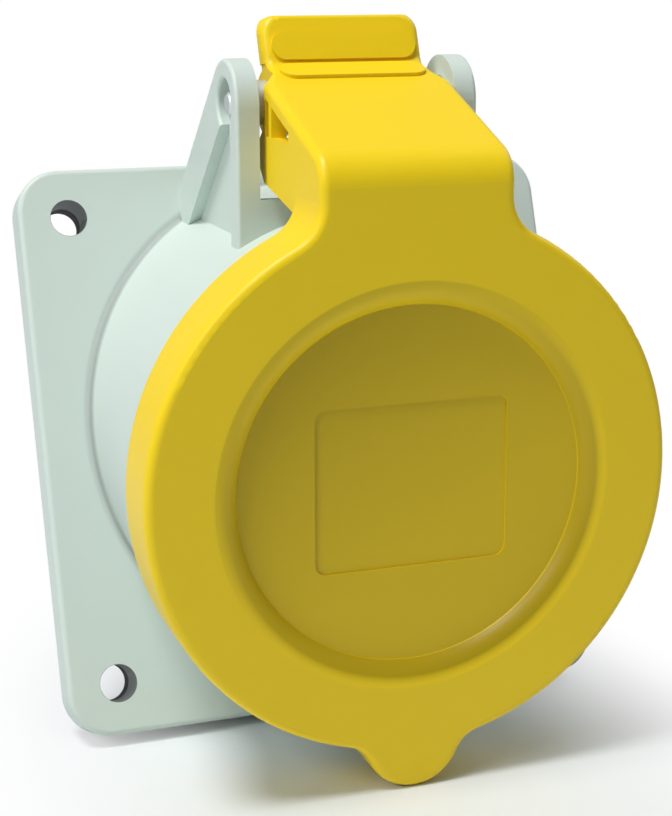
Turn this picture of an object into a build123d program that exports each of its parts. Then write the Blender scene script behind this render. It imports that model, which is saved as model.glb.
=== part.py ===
"""Panel socket outlet, 32 A, two poles and earth, 110 V, with an angled sleeve and a sprung lid.

Millimetres, +Z up. The origin is the centre of the panel face, which is the back of the gasket.
-Y points at the person who plugs in, and the sleeve looks down at that person by TILT degrees.

Sleeve frame: "height" runs along the sleeve's axis, from the flange's front face out to the lid,
and "rise" runs square to it, up to the hinge.
"""
import os
from math import asin, atan2, cos, degrees, hypot, radians, sin, tan

from build123d import *

os.makedirs("parts", exist_ok=True)

# Driving dimensions: flange and gasket
FLANGE_SIDE = 85.0
FLANGE_CORNER = 6.3
FLANGE_THICK = 6.0
FLANGE_EDGE = 0.8
FLANGE_RIM = 2.2
FLANGE_WALL = 2.8
BOSS_RADIUS = 5.6
CORE_CORNER_RADIUS = 41.5
HOLE_PITCH = 70.0
HOLE_RADIUS = 2.75
GASKET_THICK = 3.0
GASKET_INSET = 1.5
CUTOUT_RADIUS = 34.2
CUTOUT_RISE = 2.6

# Driving dimensions: sleeve
TILT = 20.35
AXIS_HEIGHT = 1.9
SLEEVE_RADIUS = 34.75
SLEEVE_BORE = 29.8
SPIGOT_RADIUS = 33.4
SPIGOT_LENGTH = 6.2
MOUTH_HEIGHT = 37.7
BEAD_RADIUS = 35.8
BEAD_WIDTH = 2.2
ROOT_FILLET = 1.0
KEYWAY_WIDTH = 9.0
KEYWAY_DEPTH = 2.2
BORE_FLOOR = -12.0
LEDGE_THICK = 2.0
LEDGE_RADIUS = 23.0
CUP_RADIUS = 33.2
CUP_END = -8.0
CUP_FOOT_RADIUS = 32.0
TAIL_RADIUS = 28.4
TAIL_WALL = 2.0
TAIL_LENGTH = 8.0

# Driving dimensions: lid
LID_FRONT = 43.0
LID_RADIUS = 37.4
LID_DEPTH = 10.4
LID_WALL = 2.0
LID_PLATE = 2.6
LID_EDGE = 1.2
DISH_RADIUS = 28.2
DISH_FLOOR_RADIUS = 24.7
DISH_DEPTH = 2.2
LABEL_WIDTH = 27.7
LABEL_HEIGHT = 22.8
LABEL_CORNER = 1.7
LABEL_DEPTH = 0.3
LOBE_REACH = 5.8
LOBE_RADIUS = 7.0
LOBE_FILLET = 4.5
SEAL_THICK = 2.2
SEAL_GAP = 0.3
GASKET_PLAY = 0.2

# Driving dimensions: lid arm and thumb tab
ARM_HALF_WIDTH = 13.5
ARM_WALL = 2.2
ARM_CORNER_DROP = 5.4
ARM_BEND = 5.0
ARM_NECK_FILLET = 5.8
ARM_SLOPE = 20.8
TAB_HALF_WIDTH = 11.8
TAB_FOOT_HEIGHT = 14.6
TAB_LEAN = 69.3
TAB_LENGTH = 7.1
TAB_THICK = 2.5
TAB_HEEL = 7.2
SEAT_WIDTH = 9.0
SEAT_RISE = 1.6
TAB_BEND = 2.0
TAB_CORNER = 2.8
TAB_EDGE = 0.7
TAB_TAPER = 1.4
GRIP_LENGTH = 21.4
GRIP_WIDTH = 4.1
GRIP_PROUD = 0.5
GRIP_BELOW_TOP = 4.6
GRIP_BELOW_BEND = 3.0
ARM_FLOOR_FRONT = (31.3, 36.2)
ARM_FLOOR_REAR = (18.8, 38.8)
WINDOW_REAR = 19.5
WINDOW_FRONT = 29.6
WINDOW_SILL = 1.3
WINDOW_POST = 21.7
WINDOW_POST_WIDTH = 1.2

# Driving dimensions: hinge
HINGE_HEIGHT = 14.0
HINGE_RISE = 49.3
PIN_RADIUS = 1.6
PIN_CLEARANCE = 0.05
PIN_HALF_LENGTH = 17.3
EAR_INNER = 14.5
EAR_THICK = 3.3
EAR_EDGE = 0.5
EAR_TIE_RISE = 36.55
EAR_TIE_THICK = 2.0
EAR_TIE_GAP = 12.0
EAR_WEB = 1.6
EAR_HEAD_RADIUS = 6.2
EAR_LEG_WIDTH = 3.3
EAR_RECESS_RADIUS = 3.45
EAR_RECESS_DEPTH = 1.6
BRACE_FOOT_RISE = 38.0
BRACE_DEPTH = 7.2
BARREL_RADIUS = 4.6
BARREL_LENGTH = 4.8
BARREL_RELIEF = 1.9
BARREL_RELIEF_GAP = 0.8
SPACER_RADIUS = 3.2
SPACER_PLAY = 0.1
SPRING_WIRE = 0.4
SPRING_COIL = 2.3
SPRING_PITCH = 1.1
SPRING_TURNS = 5
SPRING_LEG_LEAN = 25
SPRING_LONG_LEG = 14.5
SPRING_SHORT_LEG = 4.1

# Driving dimensions: contacts and their carrier
CORE_RADIUS = 22.6
CORE_FRONT = 30.0
CORE_FACE = 2.3
BASE_THICK = 8.0
BASE_CLEARANCE = 0.4
CONTACT_CIRCLE = 28.0
LINE_PIN = 6.0
EARTH_PIN = 8.0
EARTH_HOUR = 4
PIN_FIT = 0.1
TUBE_WALL = 1.5
TUBE_GAP = 0.3
CAVITY_GAP = 1.2
CAVITY_FLOOR = 6.0
ENTRY_GAP = 0.5
ENTRY_FLARE = 0.8
CONTACT_FLOOR = -2.0
SLOT_WIDTH = 0.9
SLOT_DEPTH = 18.0
COLLAR_PROUD = 1.5
COLLAR_THICK = 2.0
TERMINAL_END = -35.0
TERMINAL_RADIUS = 6.0
WIRE_RADIUS = 2.6
WIRE_DEPTH = 12.4
CLIP_THICK = 0.7
CLIP_WIDTH = 3.0
CLIP_HEIGHT = 20.0
CLIP_OPEN = 2.0
TUBE_FRONT = 27.5
TUBE_CHAMFER = 0.5
BLOCK_DISC = 6.0
BLOCK_CLEARANCE = 0.4
TOWER_RADIUS = 8.2
TOWER_END = -36.0
HUB_RADIUS = 7.5
HUB_LENGTH = 10.0
COUNTERBORE_GAP = 0.2
CLAMP_HEIGHT = -27.0
CLAMP_ACCESS = 2.4
SEAL_WIRE = 1.1
SEAL_HEIGHT = -8.0
GROOVE_WIDTH = 2.6
MIDDLE_BORE = 4.0
CORE_EDGE = 0.8
CORE_GAP = 0.2
SHOULDER_RADIUS = 25.0
SHOULDER_THICK = 1.8
SCREW_CIRCLE = 37.0
SCREW_RADIUS = 1.5
SCREW_HEAD_RADIUS = 2.9
SCREW_HEAD_THICK = 2.0
SCREW_BITE = 5.0
SCREW_GAP = 0.1
CLAMP_RADIUS = 1.9
CLAMP_LENGTH = 4.4
CLAMP_REACH = 3.5
CLAMP_SLOT = 0.7
CLAMP_SLOT_DEPTH = 1.2
PAD_THICK = 0.8
PAD_WIDTH = 2.6
PAD_LENGTH = 6.0
PAD_PLAY = 0.2

# Worked-out sizes and directions
FRONT_Y = -(FLANGE_THICK + GASKET_THICK)
COS = cos(radians(TILT))
SIN = sin(radians(TILT))
OUTWARD = Vector(0, -COS, -SIN)
UPWARD = Vector(0, -SIN, COS)
AXIS_FOOT = Vector(0, FRONT_Y, AXIS_HEIGHT)
SLEEVE_AXIS = Axis(AXIS_FOOT, OUTWARD)
SIDE = Plane(AXIS_FOOT, x_dir=OUTWARD, z_dir=(-1, 0, 0))
SKIRT_END = LID_FRONT - LID_DEPTH
ARM_CORNER_RISE = HINGE_RISE - ARM_CORNER_DROP
WINDOW_RISE = ARM_CORNER_RISE + WINDOW_SILL
SEAL_FRONT = MOUTH_HEIGHT + SEAL_GAP + SEAL_THICK
LEDGE_REAR = BORE_FLOOR - LEDGE_THICK
EAR_OUTER = EAR_INNER + EAR_THICK
TAIL_BORE = TAIL_RADIUS - TAIL_WALL
BASE_FRONT = BORE_FLOOR + BASE_THICK
BASE_RADIUS = SLEEVE_BORE - BASE_CLEARANCE
BLOCK_REAR = LEDGE_REAR - BLOCK_DISC
EARTH_TURN = 90 - 30 * EARTH_HOUR
CONTACTS = ((EARTH_TURN, EARTH_PIN), (EARTH_TURN + 120, LINE_PIN), (EARTH_TURN + 240, LINE_PIN))
SCREW_TURNS = (EARTH_TURN + 60, EARTH_TURN + 180, EARTH_TURN + 300)


def sleeve_point(height, rise):
    """The point of the middle plane at a height along the sleeve and a rise square to it."""
    return AXIS_FOOT + OUTWARD * height + UPWARD * rise


def across(height):
    """The plane square to the sleeve at a height: its x is +X and its y is the rise."""
    return Plane(sleeve_point(height, 0), x_dir=(1, 0, 0), z_dir=OUTWARD)


def height_of(shape):
    """How far a shape's centre lies along the sleeve."""
    return (shape.center() - AXIS_FOOT).dot(OUTWARD)


def rise_of(shape):
    """How far a shape's centre lies above the sleeve's axis."""
    return (shape.center() - AXIS_FOOT).dot(UPWARD)


def around(turn, radius, height):
    """The plane across the sleeve at a height, centred at a radius and turned so its x points away."""
    away = Vector(1, 0, 0) * cos(radians(turn)) + UPWARD * sin(radians(turn))
    return Plane(sleeve_point(height, 0) + away * radius, x_dir=away, z_dir=OUTWARD)


def seat(turn, height):
    """The plane square to a contact's axis at a height."""
    return around(turn, CONTACT_CIRCLE / 2, height)


def clamp_plane(turn, reach):
    """The plane square to a clamp screw, at a reach from the contact's axis."""
    middle = seat(turn, CLAMP_HEIGHT)
    return Plane(middle.origin + middle.x_dir * reach, x_dir=OUTWARD, z_dir=middle.x_dir)


def tangent_point(centre, radius, outside, side):
    """Where the line from an outside point touches a circle; side is +1 or -1."""
    gap = hypot(centre[0] - outside[0], centre[1] - outside[1])
    bearing = atan2(centre[1] - outside[1], centre[0] - outside[0])
    turn = bearing + side * asin(radius / gap)
    reach = cos(asin(radius / gap)) * gap
    return (outside[0] + reach * cos(turn), outside[1] + reach * sin(turn))


# Housing: sleeve in front of the flange, trimmed to the flange's middle
bead_rear = SKIRT_END - SEAL_GAP - BEAD_WIDTH
with BuildPart() as housing:
    with BuildSketch(SIDE):
        with BuildLine():
            Polyline(
                (-SLEEVE_RADIUS, 0),
                (-SLEEVE_RADIUS, SLEEVE_RADIUS),
                (bead_rear, SLEEVE_RADIUS),
                (bead_rear, BEAD_RADIUS),
                (bead_rear + BEAD_WIDTH, BEAD_RADIUS),
                (bead_rear + BEAD_WIDTH, SPIGOT_RADIUS),
                (MOUTH_HEIGHT, SPIGOT_RADIUS),
                (MOUTH_HEIGHT, 0),
                close=True,
            )
        make_face()
    revolve(axis=SLEEVE_AXIS)
    split(bisect_by=Plane.XZ.offset(-(FRONT_Y + FLANGE_THICK / 2)), keep=Keep.TOP)

    # Flange plate
    with BuildSketch(Plane.XZ.offset(GASKET_THICK)):
        RectangleRounded(FLANGE_SIDE, FLANGE_SIDE, FLANGE_CORNER)
    extrude(amount=FLANGE_THICK)
    root_edges = housing.edges().filter_by(GeomType.ELLIPSE)
    root_edges = root_edges.filter_by_position(Axis.Y, FRONT_Y - 0.1, FRONT_Y + 0.1)
    fillet(root_edges, ROOT_FILLET)
    front_face = housing.faces().filter_by(Axis.Y).group_by(Axis.Y)[0]
    fillet(front_face.sort_by(SortBy.AREA)[-1].outer_wire().edges(), FLANGE_EDGE)

    # Cup and tail behind the panel
    with BuildSketch(SIDE):
        with BuildLine():
            Polyline(
                (LEDGE_REAR - TAIL_LENGTH, 0),
                (LEDGE_REAR - TAIL_LENGTH, TAIL_RADIUS),
                (LEDGE_REAR, TAIL_RADIUS),
                (BORE_FLOOR, CUP_FOOT_RADIUS),
                (CUP_END, CUP_RADIUS),
                (MOUTH_HEIGHT - SPIGOT_LENGTH, CUP_RADIUS),
                (MOUTH_HEIGHT - SPIGOT_LENGTH, 0),
                close=True,
            )
        make_face()
    revolve(axis=SLEEVE_AXIS)

    # Hinge ears: a full-depth frame of leg, head and brace, with a thinner web between them
    foot_y = (BRACE_FOOT_RISE - AXIS_HEIGHT) * COS
    foot = (-(BRACE_FOOT_RISE - AXIS_HEIGHT) * SIN, foot_y)
    hinge = (HINGE_HEIGHT, HINGE_RISE)
    touch = tangent_point(hinge, EAR_HEAD_RADIUS, foot, 1)
    head_turn = atan2(touch[1] - HINGE_RISE, touch[0] - HINGE_HEIGHT) / 2
    head_top = (
        HINGE_HEIGHT + EAR_HEAD_RADIUS * cos(head_turn),
        HINGE_RISE + EAR_HEAD_RADIUS * sin(head_turn),
    )
    leg_front = HINGE_HEIGHT + EAR_HEAD_RADIUS
    leg_rear = leg_front - EAR_LEG_WIDTH
    brace_turn = atan2(touch[1] - foot[1], touch[0] - foot[0])
    brace_drop = BRACE_DEPTH / cos(brace_turn)
    leg_root = (SLEEVE_RADIUS**2 - EAR_OUTER**2) ** 0.5 - ROOT_FILLET
    web_rear = foot[0] + (foot_y - leg_root) * tan(radians(TILT))
    pocket_low = leg_root - ROOT_FILLET
    pocket_high = foot[1] - brace_drop + (leg_rear - foot[0]) * tan(brace_turn)
    pocket_end = leg_rear - (pocket_high - pocket_low) / tan(brace_turn)
    for outward_side in (-1, 1):
        with BuildSketch(SIDE.offset(outward_side * EAR_INNER)) as ear_outline:
            with BuildLine():
                Polyline(touch, foot, (web_rear, leg_root), (leg_front, leg_root), (leg_front, HINGE_RISE))
                ThreePointArc((leg_front, HINGE_RISE), head_top, touch)
            make_face()
        extrude(amount=outward_side * EAR_WEB)
        with BuildSketch(SIDE.offset(outward_side * EAR_INNER)):
            add(ear_outline.sketch_local)
            with BuildLine():
                Polyline(
                    (leg_rear, pocket_high),
                    (leg_rear, pocket_low),
                    (pocket_end, pocket_low),
                    close=True,
                )
            make_face(mode=Mode.SUBTRACT)
        extrude(amount=outward_side * EAR_THICK)

    # Ties from each ear towards the other, on top of the sleeve
    tie_width = EAR_INNER - EAR_TIE_GAP / 2
    with BuildSketch(across(leg_front)):
        with Locations((EAR_INNER - tie_width / 2, leg_root), (tie_width / 2 - EAR_INNER, leg_root)):
            Rectangle(tie_width, EAR_TIE_RISE - leg_root, align=(Align.CENTER, Align.MIN))
    extrude(amount=-EAR_TIE_THICK)

    # Sleeve bore with its keyway at six o'clock, the ledge and the tail's bore
    bore_depth = MOUTH_HEIGHT - BORE_FLOOR
    with BuildSketch(across(BORE_FLOOR)):
        Circle(SLEEVE_BORE)
    extrude(amount=bore_depth, mode=Mode.SUBTRACT)
    with BuildSketch(across(BORE_FLOOR + BASE_THICK)):
        with Locations((0, -SLEEVE_BORE)):
            Rectangle(KEYWAY_WIDTH, 2 * KEYWAY_DEPTH)
    extrude(amount=bore_depth - BASE_THICK, mode=Mode.SUBTRACT)
    with BuildSketch(across(LEDGE_REAR)):
        Circle(LEDGE_RADIUS)
    extrude(amount=LEDGE_THICK, mode=Mode.SUBTRACT)
    with BuildSketch(across(LEDGE_REAR - TAIL_LENGTH)):
        Circle(TAIL_BORE)
    extrude(amount=TAIL_LENGTH, mode=Mode.SUBTRACT)

    # Pin holes through the ears, with a round recess in each outer face
    with BuildSketch(SIDE):
        with Locations(hinge):
            Circle(PIN_RADIUS + PIN_CLEARANCE)
    extrude(amount=EAR_OUTER, both=True, mode=Mode.SUBTRACT)
    for outward_side in (-1, 1):
        with BuildSketch(SIDE.offset(outward_side * (EAR_OUTER - EAR_RECESS_DEPTH))):
            with Locations(hinge):
                Circle(EAR_RECESS_RADIUS)
        extrude(amount=outward_side * EAR_RECESS_DEPTH, mode=Mode.SUBTRACT)

    # Soft edges on the outer face of each ear
    ear_rims = housing.edges().filter_by(lambda e: abs(abs(e.center().X) - EAR_OUTER) < 0.01)
    fillet(ear_rims.filter_by(lambda e: rise_of(e) > pocket_high), EAR_EDGE)

    # Cored corners behind the flange, with a boss round each of the four fixing holes
    with BuildSketch(Plane.XZ.offset(GASKET_THICK)):
        RectangleRounded(
            FLANGE_SIDE - 2 * FLANGE_RIM, FLANGE_SIDE - 2 * FLANGE_RIM, FLANGE_CORNER - FLANGE_RIM
        )
        Circle(CORE_CORNER_RADIUS, mode=Mode.SUBTRACT)
        with GridLocations(HOLE_PITCH, HOLE_PITCH, 2, 2):
            Circle(BOSS_RADIUS, mode=Mode.SUBTRACT)
    extrude(amount=FLANGE_THICK - FLANGE_WALL, mode=Mode.SUBTRACT)
    with BuildSketch(Plane.XZ.offset(GASKET_THICK)):
        with GridLocations(HOLE_PITCH, HOLE_PITCH, 2, 2):
            Circle(HOLE_RADIUS)
    extrude(amount=FLANGE_THICK, mode=Mode.SUBTRACT)
housing.part.label = "housing"
export_step(housing.part, "parts/housing.step")

# Panel gasket: soft sheet behind the flange, with the panel's cut-out in it
with BuildPart() as panel_gasket:
    with BuildSketch(Plane.XZ):
        RectangleRounded(
            FLANGE_SIDE - 2 * GASKET_INSET, FLANGE_SIDE - 2 * GASKET_INSET, FLANGE_CORNER - GASKET_INSET
        )
        with Locations((0, CUTOUT_RISE)):
            Circle(CUTOUT_RADIUS, mode=Mode.SUBTRACT)
        with GridLocations(HOLE_PITCH, HOLE_PITCH, 2, 2):
            Circle(HOLE_RADIUS, mode=Mode.SUBTRACT)
    extrude(amount=GASKET_THICK)
panel_gasket.part.label = "panel_gasket"
export_step(panel_gasket.part, "parts/panel_gasket.step")

# Hinge pin, held by the ears and running in the lid's two barrels
with BuildPart() as hinge_pin:
    with BuildSketch(SIDE):
        with Locations(hinge):
            Circle(PIN_RADIUS)
    extrude(amount=PIN_HALF_LENGTH, both=True)
    chamfer(hinge_pin.edges().filter_by(GeomType.CIRCLE), PIN_RADIUS / 5)
hinge_pin.part.label = "hinge_pin"
export_step(hinge_pin.part, "parts/hinge_pin.step")

# Hinge spacers: a bush on the pin between each ear and the lid's barrel
relief_start = ARM_HALF_WIDTH - BARREL_RELIEF
with BuildPart() as hinge_spacers:
    for outward_side in (-1, 1):
        with BuildSketch(SIDE.offset(outward_side * (relief_start + SPACER_PLAY))):
            with Locations(hinge):
                Circle(SPACER_RADIUS)
                Circle(PIN_RADIUS + PIN_CLEARANCE, mode=Mode.SUBTRACT)
        extrude(amount=outward_side * (EAR_INNER - relief_start - 2 * SPACER_PLAY))
hinge_spacers.part.label = "hinge_spacers"
export_step(hinge_spacers.part, "parts/hinge_spacers.step")

# Lid: disc, arm, thumb tab and lifting lobe, one moulding
plate_turn = radians(ARM_SLOPE)
tab_turn = radians(TAB_LEAN)
tab_foot = (TAB_FOOT_HEIGHT, ARM_CORNER_RISE + (LID_FRONT - TAB_FOOT_HEIGHT) * tan(plate_turn))
tab_top = (tab_foot[0] - TAB_LENGTH * cos(tab_turn), tab_foot[1] + TAB_LENGTH * sin(tab_turn))
tab_back = (tab_top[0] - TAB_THICK * sin(tab_turn), tab_top[1] - TAB_THICK * cos(tab_turn))
tab_heel = (tab_back[0] + TAB_HEEL * cos(tab_turn), tab_back[1] - TAB_HEEL * sin(tab_turn))
barrel_rear = HINGE_HEIGHT - BARREL_RADIUS
lobe_rise = -(LID_RADIUS + LOBE_REACH - LOBE_RADIUS)
neck_top = ARM_CORNER_RISE - ARM_BEND
arm_bore = ARM_HALF_WIDTH - ARM_WALL
plate_drop = ARM_WALL / cos(plate_turn)


def roof_rise(height):
    """The rise of the outer face of the arm's top plate."""
    return ARM_CORNER_RISE + (LID_FRONT - height) * tan(plate_turn)


with BuildPart() as lid:
    # Disc, neck and lobe as one outline, with soft inner corners
    with BuildSketch(across(SKIRT_END)) as lid_outline:
        Circle(LID_RADIUS)
        with Locations((0, neck_top / 2)):
            Rectangle(2 * ARM_HALF_WIDTH, neck_top)
        with Locations((0, lobe_rise)):
            Circle(LOBE_RADIUS)
        corners = lid_outline.vertices().filter_by_position(Axis.Y, 0, neck_top - 1)
        fillet(corners.filter_by(lambda v: abs(v.X) > 1), ARM_NECK_FILLET)
        corners = lid_outline.vertices().filter_by_position(Axis.Y, -LID_RADIUS, -LID_RADIUS / 2)
        fillet(corners.filter_by(lambda v: abs(v.X) > 1), LOBE_FILLET)
    extrude(amount=LID_DEPTH)

    # Arm from the side: bend, sloping top plate, thumb tab and the walls' lower edge
    with BuildSketch(SIDE) as arm_profile:
        with BuildLine():
            Polyline(
                (LID_FRONT, neck_top - ARM_BEND),
                (LID_FRONT, ARM_CORNER_RISE),
                tab_foot,
                tab_top,
                tab_back,
                tab_heel,
                (barrel_rear, HINGE_RISE + PIN_RADIUS),
                (barrel_rear, HINGE_RISE - PIN_RADIUS),
                ARM_FLOOR_REAR,
                ARM_FLOOR_FRONT,
                (SKIRT_END, neck_top - ARM_BEND),
                close=True,
            )
        make_face()
        bend = arm_profile.vertices().sort_by_distance((LID_FRONT, ARM_CORNER_RISE))[0]
        fillet(bend, ARM_BEND)
        bend = arm_profile.vertices().sort_by_distance(tab_foot)[0]
        fillet(bend, TAB_BEND)
    extrude(amount=ARM_HALF_WIDTH, both=True)

    # Thumb tab trimmed narrower than the arm, with round corners
    with BuildSketch(across(0), mode=Mode.PRIVATE) as tab_outline:
        with BuildLine():
            Polyline(
                (-ARM_HALF_WIDTH, tab_foot[1] - 3 * TAB_TAPER),
                (-ARM_HALF_WIDTH, tab_foot[1] - 2 * TAB_TAPER),
                (-TAB_HALF_WIDTH, tab_foot[1] - TAB_TAPER),
                (-TAB_HALF_WIDTH, tab_top[1]),
                (TAB_HALF_WIDTH, tab_top[1]),
                (TAB_HALF_WIDTH, tab_foot[1] - TAB_TAPER),
                (ARM_HALF_WIDTH, tab_foot[1] - 2 * TAB_TAPER),
                (ARM_HALF_WIDTH, tab_foot[1] - 3 * TAB_TAPER),
                close=True,
            )
        make_face()
        fillet(tab_outline.vertices().group_by(Axis.Y)[-1], TAB_CORNER)
        fillet(tab_outline.vertices().group_by(Axis.Y)[1], TAB_TAPER)
        fillet(tab_outline.vertices().group_by(Axis.Y)[3], TAB_TAPER)
    with BuildSketch(across(0)):
        with Locations((0, tab_foot[1] - 2.5 * TAB_TAPER)):
            Rectangle(4 * ARM_HALF_WIDTH, 2 * TAB_LENGTH, align=(Align.CENTER, Align.MIN))
        add(tab_outline.sketch_local, mode=Mode.SUBTRACT)
    extrude(amount=LID_FRONT - ARM_BEND, mode=Mode.SUBTRACT)

    # Soft edge round the front, over the bend, along the arm and round the tab
    front_loop = lid.edges().filter_by(lambda e: abs(height_of(e) - LID_FRONT) < 0.01)
    side_edges = lid.edges().filter_by(lambda e: abs(e.center().X) > TAB_HALF_WIDTH - 0.01)
    bend_edges = side_edges.filter_by(GeomType.CIRCLE).filter_by(
        lambda e: rise_of(e) > neck_top + 1 and LID_FRONT - ARM_BEND < height_of(e) < LID_FRONT - 0.1
    )
    roof_edges = side_edges.filter_by(lambda e: abs(rise_of(e) - roof_rise(height_of(e))) < 0.01)
    fillet(front_loop + bend_edges + roof_edges, LID_EDGE)
    tab_normal = OUTWARD * sin(tab_turn) + UPWARD * cos(tab_turn)
    tab_faces = lid.faces().filter_by(GeomType.PLANE)
    tab_faces = tab_faces.filter_by(lambda f: f.normal_at().dot(tab_normal) > 0.999)
    tab_rim = tab_faces.sort_by(SortBy.AREA)[-1].edges()
    fillet(tab_rim.sort_by(rise_of)[-1], TAB_EDGE)

    # Hollow under the disc: a flat plate inside the seal, and a deeper ring that holds the seal
    with BuildSketch(SIDE):
        with BuildLine():
            Polyline(
                (SKIRT_END, 0),
                (SKIRT_END, LID_RADIUS - LID_WALL),
                (SEAL_FRONT, LID_RADIUS - LID_WALL),
                (SEAL_FRONT, SLEEVE_BORE - SEAL_GAP),
                (LID_FRONT - DISH_DEPTH - LID_PLATE, SLEEVE_BORE - SEAL_GAP - LID_PLATE),
                (LID_FRONT - DISH_DEPTH - LID_PLATE, 0),
                close=True,
            )
        make_face()
    revolve(axis=SLEEVE_AXIS, mode=Mode.SUBTRACT)

    # Hollow under the arm, open below and behind
    with BuildSketch(SIDE):
        with BuildLine():
            Polyline(
                (LID_FRONT - LID_PLATE, LID_RADIUS + PIN_CLEARANCE),
                (LID_FRONT - LID_PLATE, roof_rise(LID_FRONT - LID_PLATE) - plate_drop),
                (TAB_FOOT_HEIGHT, roof_rise(TAB_FOOT_HEIGHT) - plate_drop),
                (0, roof_rise(TAB_FOOT_HEIGHT) - plate_drop),
                (0, CUP_RADIUS),
                (SKIRT_END, CUP_RADIUS),
                (SKIRT_END, LID_RADIUS + PIN_CLEARANCE),
                close=True,
            )
        make_face()
    extrude(amount=arm_bore, both=True, mode=Mode.SUBTRACT)

    # Seat for the spring's short leg, behind the tab's foot
    with BuildSketch(SIDE):
        with Locations((barrel_rear, roof_rise(TAB_FOOT_HEIGHT) - plate_drop)):
            Rectangle(TAB_FOOT_HEIGHT - barrel_rear, SEAT_RISE, align=Align.MIN)
    extrude(amount=SEAT_WIDTH / 2, both=True)

    # Window in each side wall, under the top plate, with its post
    with BuildSketch(SIDE):
        with BuildLine():
            Polyline(
                (WINDOW_REAR, WINDOW_RISE),
                (WINDOW_FRONT, WINDOW_RISE),
                (WINDOW_FRONT, roof_rise(WINDOW_FRONT) - plate_drop - PIN_CLEARANCE),
                (WINDOW_REAR, roof_rise(WINDOW_REAR) - plate_drop - PIN_CLEARANCE),
                close=True,
            )
        make_face()
        with Locations((WINDOW_POST, WINDOW_RISE)):
            Rectangle(WINDOW_POST_WIDTH, 2 * ARM_HALF_WIDTH, mode=Mode.SUBTRACT)
    extrude(amount=ARM_HALF_WIDTH, both=True, mode=Mode.SUBTRACT)

    # Hinge barrels, relieved next to the ears
    for outward_side in (-1, 1):
        with BuildSketch(SIDE.offset(outward_side * (relief_start - BARREL_LENGTH))):
            with Locations(hinge):
                Circle(BARREL_RADIUS)
        extrude(amount=outward_side * BARREL_LENGTH)
        with BuildSketch(SIDE.offset(outward_side * relief_start)):
            with Locations(hinge):
                Circle(BARREL_RADIUS + BARREL_RELIEF_GAP)
        extrude(amount=outward_side * BARREL_RELIEF, mode=Mode.SUBTRACT)
    with BuildSketch(SIDE):
        with Locations(hinge):
            Circle(PIN_RADIUS + PIN_CLEARANCE)
    extrude(amount=ARM_HALF_WIDTH, both=True, mode=Mode.SUBTRACT)

    # Dished front: a soft round edge down to a flat floor, with a blank label field
    dish_turn = 2 * atan2(DISH_DEPTH, DISH_RADIUS - DISH_FLOOR_RADIUS)
    dish_round = DISH_DEPTH / (1 - cos(dish_turn))
    dish_middle = (
        LID_FRONT - dish_round * (1 - cos(dish_turn / 2)),
        DISH_RADIUS - dish_round * sin(dish_turn / 2),
    )
    dish_corner = (LID_FRONT - DISH_DEPTH, DISH_FLOOR_RADIUS)
    with BuildSketch(SIDE):
        with BuildLine():
            ThreePointArc((LID_FRONT, DISH_RADIUS), dish_middle, dish_corner)
            Polyline(dish_corner, (LID_FRONT - DISH_DEPTH, 0), (LID_FRONT, 0), (LID_FRONT, DISH_RADIUS))
        make_face()
    revolve(axis=SLEEVE_AXIS, mode=Mode.SUBTRACT)
    with BuildSketch(across(LID_FRONT - DISH_DEPTH - LABEL_DEPTH)):
        RectangleRounded(LABEL_WIDTH, LABEL_HEIGHT, LABEL_CORNER)
    extrude(amount=LABEL_DEPTH, mode=Mode.SUBTRACT)

    # Two raised grips, one each side of the tab's fold
    down_tab = OUTWARD * cos(tab_turn) - UPWARD * sin(tab_turn)
    tab_grip = sleeve_point(*tab_top) + down_tab * GRIP_BELOW_TOP
    down_roof = OUTWARD * cos(plate_turn) - UPWARD * sin(plate_turn)
    roof_grip = sleeve_point(*tab_foot) + down_roof * GRIP_BELOW_BEND
    roof_normal = OUTWARD * sin(plate_turn) + UPWARD * cos(plate_turn)
    for grip_place, grip_normal in ((tab_grip, tab_normal), (roof_grip, roof_normal)):
        with BuildSketch(Plane(grip_place, x_dir=(1, 0, 0), z_dir=grip_normal)):
            SlotOverall(GRIP_LENGTH, GRIP_WIDTH)
        extrude(amount=GRIP_PROUD)
lid.part.label = "lid"
export_step(lid.part, "parts/lid.step")

# Lid gasket: flat ring in the lid, facing the sleeve's mouth
with BuildPart() as lid_gasket:
    with BuildSketch(across(SEAL_FRONT)):
        Circle(LID_RADIUS - LID_WALL - GASKET_PLAY)
        Circle(SLEEVE_BORE + GASKET_PLAY / 2, mode=Mode.SUBTRACT)
    extrude(amount=-SEAL_THICK)
lid_gasket.part.label = "lid_gasket"
export_step(lid_gasket.part, "parts/lid_gasket.step")

# Lid spring: coil round the hinge pin, long leg down to the sleeve, short leg up to the tab
coil_length = (SPRING_TURNS - SPRING_LEG_LEAN / 360) * SPRING_PITCH
coil_start = sleeve_point(*hinge) - Vector(coil_length / 2, 0, 0)
with BuildPart() as lid_spring:
    with BuildLine(mode=Mode.PRIVATE) as coil:
        Helix(SPRING_PITCH, coil_length, SPRING_COIL)
    coil_path = Plane(coil_start, x_dir=-OUTWARD, z_dir=(1, 0, 0)).from_local_coords(coil.edge())
    with BuildSketch(Plane(coil_path @ 0, z_dir=coil_path % 0)):
        Circle(SPRING_WIRE)
    sweep(path=coil_path)
    with BuildSketch(Plane(coil_path @ 0, z_dir=coil_path % 0)):
        Circle(SPRING_WIRE)
    extrude(amount=-SPRING_LONG_LEG)
    with BuildSketch(Plane(coil_path @ 1, z_dir=coil_path % 1)):
        Circle(SPRING_WIRE)
    extrude(amount=SPRING_SHORT_LEG)
lid_spring.part.label = "lid_spring"
export_step(lid_spring.part, "parts/lid_spring.step")

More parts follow.
